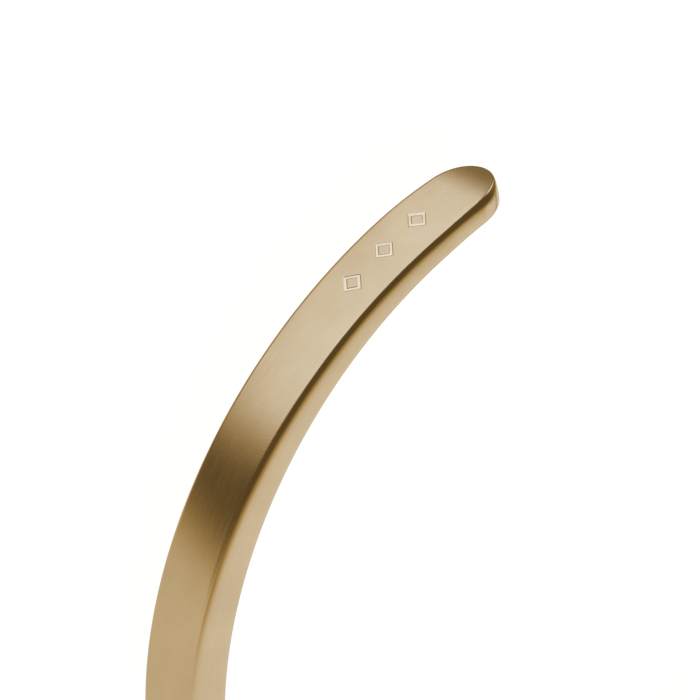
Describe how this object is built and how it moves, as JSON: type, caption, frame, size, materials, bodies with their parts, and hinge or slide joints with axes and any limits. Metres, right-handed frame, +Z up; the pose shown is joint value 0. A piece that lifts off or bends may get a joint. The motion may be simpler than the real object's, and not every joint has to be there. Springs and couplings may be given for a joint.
{
  "type": "cuff bracelet",
  "caption": "Slim open cuff bracelet: a flat satin gold band bent into an open ring, thinner towards its two rounded tips, with a row of small engraved lozenges near one tip.",
  "frame": {"origin": "under the middle of the cuff's box, on the surface that its lower edge face lies on", "axes": "+Z up along the axis of the ring, -Y towards the opening between the tips, +X towards the tip with the engraved lozenges"},
  "size_m": [0.061, 0.0554, 0.0044],
  "materials": {
    "satin_gold": "satin gold plate over brass"
  },
  "bodies": {
    "root": {"cuff_band": "satin_gold"}
  },
  "joints": []
}
